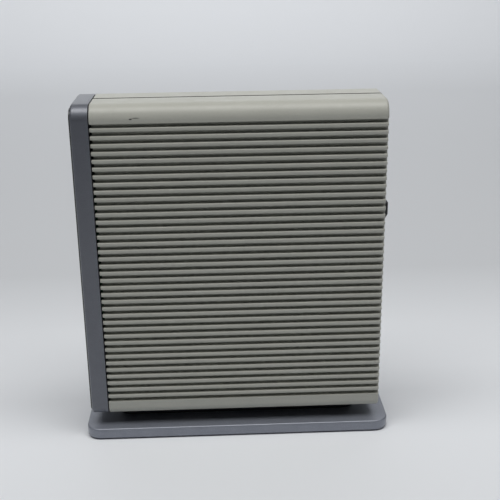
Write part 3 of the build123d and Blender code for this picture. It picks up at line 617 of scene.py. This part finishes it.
# ---------------------------------------------------------------- shells
def shell_box():
    """Front, half-thickness and height range of the two shells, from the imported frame."""
    sizes = bpy.context.scene.node_sizes
    bezel_low, bezel_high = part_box("front_bezel")
    _, far_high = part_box("far_shell")
    x = (bezel_high.x + sizes.reveal, far_high.x)
    return x, far_high.y, (bezel_low.z, bezel_high.z)


def on_outline(half, z):
    """A test for vertices on the tower's outer outline."""
    sizes = bpy.context.scene.node_sizes
    middle, tall = (z[0] + z[1]) / 2, (z[1] - z[0]) / 2

    def test(vert):
        radius = sizes.top_corner if vert.co.z > middle else sizes.low_corner
        across = abs(vert.co.y) - (half - radius)
        upright = abs(vert.co.z - middle) - (tall - radius)
        outside = hypot(max(across, 0.0), max(upright, 0.0)) + min(max(across, upright), 0.0)
        return abs(outside - radius) < 2 * TINY

    return test


def round_corners(edit, half, inset=0.0):
    """Rounds the long edges at half the thickness: wide above, tighter below."""
    sizes = bpy.context.scene.node_sizes
    edges = [edge for edge in bmesh.from_edit_mesh(edit.piece.data).edges if along(0)(edge)]
    middle = sum(edge.verts[0].co.z for edge in edges) / len(edges)
    for sign, radius in ((1, sizes.top_corner), (-1, sizes.low_corner)):
        edit.round_edges(
            lambda edge: along(0)(edge)
            and abs(abs(edge.verts[0].co.y) - half) < TINY
            and (edge.verts[0].co.z - middle) * sign > radius,
            radius - inset,
            14,
        )


def shell_skin(name):
    """The far shell without its ribs: two rounded bands and the sunk wall behind the ribs."""
    sizes = bpy.context.scene.node_sizes
    x, half, z = shell_box()
    seam_y = sizes.seam_gap / 2
    skin = cube(name, (x[0], seam_y, z[0]), (x[1], half, z[1]))
    field_high = z[1] - sizes.top_margin
    field_low = field_high - sizes.rib_count * sizes.rib_pitch - (sizes.rib_pitch - sizes.rib_height)
    with editing(skin) as edit:
        edit.delete_faces(lambda face: abs(face.normal.x) > 0.99 or face.normal.y < -0.99)
        round_corners(edit, half)
        for level in (field_high, field_high - TINY, field_low + TINY, field_low):
            edit.cut((0, 0, level), (0, 0, 1))
        edit.pick(
            "VERT",
            lambda vert: vert.co.y > half - TINY
            and field_low + TINY / 2 < vert.co.z < field_high - TINY / 2,
        )
        bpy.ops.transform.translate(value=(0, -sizes.groove_depth, 0))
        wall = in_plane(1, half - sizes.groove_depth)
        edit.pick("EDGE", outermost(0, x[0], wall))
        bpy.ops.transform.translate(value=(sizes.rib_end_step, 0, 0))
        edit.recalculate()
    use_modifier(skin, "SOLIDIFY", thickness=sizes.shell_skin, offset=-1.0, use_even_offset=True)
    outline = on_outline(half, z)
    with editing(skin) as edit:
        for rim_x, radius, segments in ((x[1], sizes.rear_round, 6), (x[0], sizes.front_round, 4)):
            rim = in_plane(0, rim_x)
            edit.round_edges(
                lambda edge: rim(edge) and all(outline(vert) for vert in edge.verts), radius, segments
            )
        seam = outermost(1, seam_y, along(0))
        edit.round_edges(lambda edge: seam(edge) and all(map(outline, edge.verts)), sizes.seam_round, 3)
    return skin


def ribs(name):
    """One flat-faced bar, rounded at its edges and ends, repeated down the side."""
    sizes = bpy.context.scene.node_sizes
    x, half, z = shell_box()
    root_y = half - sizes.groove_depth - 0.2 * MM
    top = z[1] - sizes.top_margin - (sizes.rib_pitch - sizes.rib_height)
    bottom = top - sizes.rib_height
    bar = cube(name, (x[0], root_y, bottom), (x[1], half, top))
    with editing(bar) as edit:
        upright = outermost(1, half, along(2))
        for end_x, radius, segments in ((x[1], sizes.rear_round, 6), (x[0], sizes.front_round, 4)):
            edit.round_edges(outermost(0, end_x, upright), radius, segments)
        upper, lower, root = in_plane(2, top), in_plane(2, bottom), in_plane(1, root_y)
        edit.round_edges(
            lambda edge: (upper(edge) or lower(edge)) and not root(edge), sizes.rib_edge, 4
        )
    use_modifier(
        bar,
        "ARRAY",
        count=sizes.rib_count,
        use_relative_offset=False,
        use_constant_offset=True,
        constant_offset_displace=(0, 0, -sizes.rib_pitch),
    )
    return bar


def seam_strip(name):
    """The far shell's tongue that closes the seam from inside, along the top and the bottom."""
    sizes = bpy.context.scene.node_sizes
    x, _, z = shell_box()
    reach = 2.5 * MM
    strips = []
    for level, inward in ((z[1] - sizes.shell_skin, -1), (z[0] + sizes.shell_skin, 1)):
        ends = sorted((level + inward * 0.1 * MM, level + inward * 1.3 * MM))
        low = (x[0] + MM, -reach, ends[0])
        high = (x[1] - 4 * MM, reach, ends[1])
        strip = cube(f"{name}_{len(strips)}", low, high)
        with editing(strip) as edit:
            edit.round_edges(along(0), 0.3 * MM, 2)
        strips.append(strip)
    return joined(*strips)


def build_shells():
    far = joined(shell_skin("far_shell_ribbed"), ribs("far_ribs"))
    near = far.copy()
    near.data = far.data.copy()
    near.name = "near_shell_ribbed"
    bpy.context.scene.collection.objects.link(near)
    only(near)
    near.scale = (1, -1, 1)
    bpy.ops.object.transform_apply(location=True, rotation=True, scale=True)
    with editing(near) as edit:
        edit.recalculate()
    far = joined(far, seam_strip("far_seam_strip"))
    for piece, node in ((near, "near_shell"), (far, "far_shell")):
        smooth(piece)
        finish(piece, "tower", "shell_plastic", FINISHES["shell_plastic"], node)


# ---------------------------------------------------------------- front end
def build_bezel():
    sizes = bpy.context.scene.node_sizes
    low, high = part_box("front_bezel")
    insert_low, insert_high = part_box("front_insert")
    bezel = cube("front_bezel_wrapped", low, high)
    with editing(bezel) as edit:
        round_corners(edit, high.y)
        edit.round_edges(in_plane(0, low.x), sizes.bezel_round, 5)
        edit.round_edges(in_plane(0, high.x), 0.4 * MM, 2)
        sunk = (insert_high.x - low.x + 0.02 * MM, 0, 0)
        edit.sink(outermost(0, low.x, facing(0, -1)), sizes.bezel_lip, sunk)
        edit.sink(outermost(0, high.x, facing(0, 1)), sizes.bezel_wall, (-5.5 * MM, 0, 0))
    smooth(bezel)
    finish(bezel, "tower", "silver_plastic", FINISHES["silver_plastic"], "front_bezel")

    insert = cube("front_insert_gloss", insert_low, insert_high)
    with editing(insert) as edit:
        round_corners(edit, insert_high.y, insert_low.y - low.y)
        edit.round_edges(in_plane(0, insert_low.x), 0.5 * MM, 4)
        edit.sink(outermost(0, insert_low.x, facing(0, -1)), 2.4 * MM, (0.12 * MM, 0, 0))
    smooth(insert)
    finish(insert, "tower", "smoked_black", FINISHES["smoked_black"], "front_insert")


# ---------------------------------------------------------------- base
def build_base():
    sizes = bpy.context.scene.node_sizes
    low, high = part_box("base_plate")
    weight_low, weight_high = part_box("base_weight")
    plate = rounded_block("base_plate_rounded", low, high, 2, sizes.base_corner, 14)
    with editing(plate) as edit:
        edit.round_edges(in_plane(2, high.z), sizes.base_round, 5)
        edit.round_edges(in_plane(2, low.z), sizes.base_lower_round, 3)
    clearance = Vector((0.2, 0.2, 0)) * MM
    overshoot = Vector((0.2, 0.2, 2.0)) * MM
    pocket = cube("pocket", weight_low - overshoot, weight_high + clearance)
    use_modifier(plate, "BOOLEAN", operation="DIFFERENCE", object=pocket, solver="EXACT")
    bpy.data.objects.remove(pocket)
    smooth(plate)
    # Painted light: the base plate gets the lightened copy of the bezel's lacquer.
    finish(plate, "tower", "silver_plastic", FINISHES["silver_base"], "base_plate")


def build_feet():
    """Rubber pads with a rounded rim and a ring groove in their tread."""
    low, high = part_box("feet")
    radius = 5.0 * MM
    tread = 0.35 * MM
    pads = []
    for x in (low.x + radius, high.x - radius):
        for y in (low.y + radius, high.y - radius):
            pad = cylinder(f"foot_{len(pads)}", radius, (x, y, (low.z + high.z) / 2), high.z - low.z)
            with editing(pad) as edit:
                edit.sink(outermost(2, low.z, facing(2, -1)), 1.4 * MM, (0, 0, tread))
                edit.sink(outermost(2, low.z + tread, facing(2, -1)), 0.9 * MM, (0, 0, -tread))
            limits = {"limit_method": "ANGLE", "angle_limit": radians(40)}
            use_modifier(pad, "BEVEL", width=0.15 * MM, segments=2, **limits)
            pads.append(pad)
    feet = joined(*pads)
    feet.name = "feet_treaded"
    smooth(feet)
    finish(feet, "tower", "foot_rubber", FINISHES["foot_rubber"], "feet")


# ---------------------------------------------------------------- pieces finished from the frame
ROUNDED = {
    "rear_panel": (0.3, "black_plastic"),
    "rear_panel_screws": (0.12, "steel"),
    "ethernet_jack_1": (0.2, "black_plastic"),
    "ethernet_jack_2": (0.2, "black_plastic"),
    "ethernet_jack_3": (0.2, "black_plastic"),
    "power_inlet": (0.25, "black_plastic"),
    "inlet_pin": (0.3, "contact_gold"),
    "pedestal": (0.5, "black_plastic"),
    "base_weight": (0.3, "steel"),
    "base_screws": (0.12, "steel"),
    "rocker_housing": (0.35, "black_plastic"),
    "rocker": (0.4, "black_plastic"),
    "pair_button": (0.12, "silver_plastic"),
    "reset_button": (0.3, "silver_plastic"),
}


def build_rounded():
    for node, (width, slot) in ROUNDED.items():
        softened(node, width * MM, slot, FINISHES[slot])


def dress_inner_nodes():
    """Gives every node that stays as packed the finish of its own material slot."""
    slots = {row["node"]: row["material_slot"] for row in frame["record"]["subparts"]}
    for name, node in frame["nodes"].items():
        if node.hide_render:
            continue
        node.data.materials.clear()
        node.data.materials.append(FINISHES[slots[name]])


# ---------------------------------------------------------------- stage
def make_floor():
    """A floor that curves up into a wall far behind the object."""
    bpy.ops.object.select_all(action="DESELECT")
    reach = 2.5
    bpy.ops.mesh.primitive_plane_add(size=2 * reach, location=(0, 0, 0))
    floor = applied("floor")
    with editing(floor) as edit:
        edit.pick("EDGE", in_plane(1, reach))
        bpy.ops.mesh.extrude_region_move(TRANSFORM_OT_translate={"value": (0, 0, reach)})
        edit.pick("EDGE", outermost(1, reach, in_plane(2, 0.0)))
        bpy.ops.mesh.bevel(offset=0.9, segments=24, profile=0.5, affect="EDGES")
    smooth(floor, 60)
    floor.data.materials.append(floor_finish())


def make_camera():
    stage = bpy.context.scene.node_stage
    yaw, pitch, roll = stage.yaw, stage.pitch, stage.roll
    ahead = Vector((sin(yaw) * cos(pitch), cos(yaw) * cos(pitch), -sin(pitch)))
    level = Vector((cos(yaw), -sin(yaw), 0))
    above = level.cross(ahead)
    right = level * cos(roll) + above * sin(roll)
    up = above * cos(roll) - level * sin(roll)
    data = bpy.data.cameras.new("camera")
    data.lens = stage.lens
    data.sensor_width = 36.0
    camera = bpy.data.objects.new("camera", data)
    bpy.context.scene.collection.objects.link(camera)
    turn = Matrix((right, up, -ahead)).transposed().to_4x4()
    camera.matrix_world = Matrix.Translation(Vector(stage.camera_place)) @ turn
    bpy.context.scene.camera = camera


def area_light(name, place, target, size, power, tone=(1, 1, 1)):
    data = bpy.data.lights.new(name, "AREA")
    data.shape = "RECTANGLE"
    data.size, data.size_y = size
    data.energy = power
    data.color = tone
    light = bpy.data.objects.new(name, data)
    bpy.context.scene.collection.objects.link(light)
    light.location = place
    light.rotation_euler = (Vector(target) - Vector(place)).to_track_quat("-Z", "Y").to_euler()


def make_lights():
    stage = bpy.context.scene.node_stage
    area_light("softbox", (0, -0.25, 1.3), (0, 0, 0.1), (1.8, 0.6), stage.key_power, (1.0, 0.995, 0.985))
    area_light("backdrop", (0, 1.0, 1.9), (0, 2.4, 1.0), (2.6, 0.6), stage.backdrop_power)
    world = bpy.data.worlds.new("room")
    world.use_nodes = True
    backdrop = world.node_tree.nodes["Background"]
    backdrop.inputs["Color"].default_value = (0.93, 0.96, 1.0, 1.0)
    backdrop.inputs["Strength"].default_value = stage.room_light
    bpy.context.scene.world = world
    bpy.context.scene.view_settings.view_transform = "Standard"


# ---------------------------------------------------------------- the add-on's parts
class BuildShells(bpy.types.Operator):
    """Model the two ribbed shells"""

    bl_idname = "network_node.shells"
    bl_label = "Ribbed shells"

    def execute(self, context):
        build_shells()
        return {"FINISHED"}


class BuildFrontEnd(bpy.types.Operator):
    """Model the silver bezel and its black insert"""

    bl_idname = "network_node.front_end"
    bl_label = "Front bezel and insert"

    def execute(self, context):
        build_bezel()
        return {"FINISHED"}


class BuildBase(bpy.types.Operator):
    """Model the base plate and its rubber feet"""

    bl_idname = "network_node.base"
    bl_label = "Base plate and feet"

    def execute(self, context):
        build_base()
        build_feet()
        return {"FINISHED"}


class BuildFinishes(bpy.types.Operator):
    """Make the finishes that the pieces share"""

    bl_idname = "network_node.finishes"
    bl_label = "Finishes"

    def execute(self, context):
        make_finishes()
        return {"FINISHED"}


class BuildRoundedPieces(bpy.types.Operator):
    """Round the edges of the panel, sockets, switches, buttons and screws"""

    bl_idname = "network_node.rounded_pieces"
    bl_label = "Panel, sockets and switches"

    def execute(self, context):
        build_rounded()
        return {"FINISHED"}


class DressInnerPieces(bpy.types.Operator):
    """Give the boards, leads and other inner pieces their finishes"""

    bl_idname = "network_node.inner_pieces"
    bl_label = "Inner pieces"

    def execute(self, context):
        dress_inner_nodes()
        return {"FINISHED"}


class BuildStage(bpy.types.Operator):
    """Make the floor, the lights and the camera"""

    bl_idname = "network_node.stage"
    bl_label = "Floor, lights and camera"

    def execute(self, context):
        make_camera()
        make_floor()
        make_lights()
        return {"FINISHED"}


STEPS = (
    BuildStage,
    BuildFinishes,
    BuildShells,
    BuildFrontEnd,
    BuildBase,
    BuildRoundedPieces,
    DressInnerPieces,
)


class NodePanel(bpy.types.Panel):
    """Lists the steps and the values that they use"""

    bl_idname = "VIEW3D_PT_network_node"
    bl_label = "Network node"
    bl_space_type = "VIEW_3D"
    bl_region_type = "UI"
    bl_category = "Network node"

    def draw(self, context):
        layout = self.layout
        for step in STEPS:
            layout.operator(step.bl_idname)
        for group in ("node_sizes", "node_colours", "node_stage"):
            box = layout.box()
            values = getattr(context.scene, group)
            for name in values.bl_rna.properties.keys():
                if name not in ("rna_type", "name"):
                    box.prop(values, name)


GROUPS = {"node_sizes": NodeSizes, "node_colours": NodeColours, "node_stage": StageSettings}


def register():
    for group in (*GROUPS.values(), *STEPS, NodePanel):
        bpy.utils.register_class(group)
    for name, group in GROUPS.items():
        setattr(bpy.types.Scene, name, PointerProperty(type=group))


def unregister():
    for name in GROUPS:
        delattr(bpy.types.Scene, name)
    for group in reversed((*GROUPS.values(), *STEPS, NodePanel)):
        bpy.utils.unregister_class(group)


def main():
    register()
    for step in STEPS:
        category, name = step.bl_idname.split(".")
        getattr(getattr(bpy.ops, category), name)()


if __name__ == "__main__":
    main()
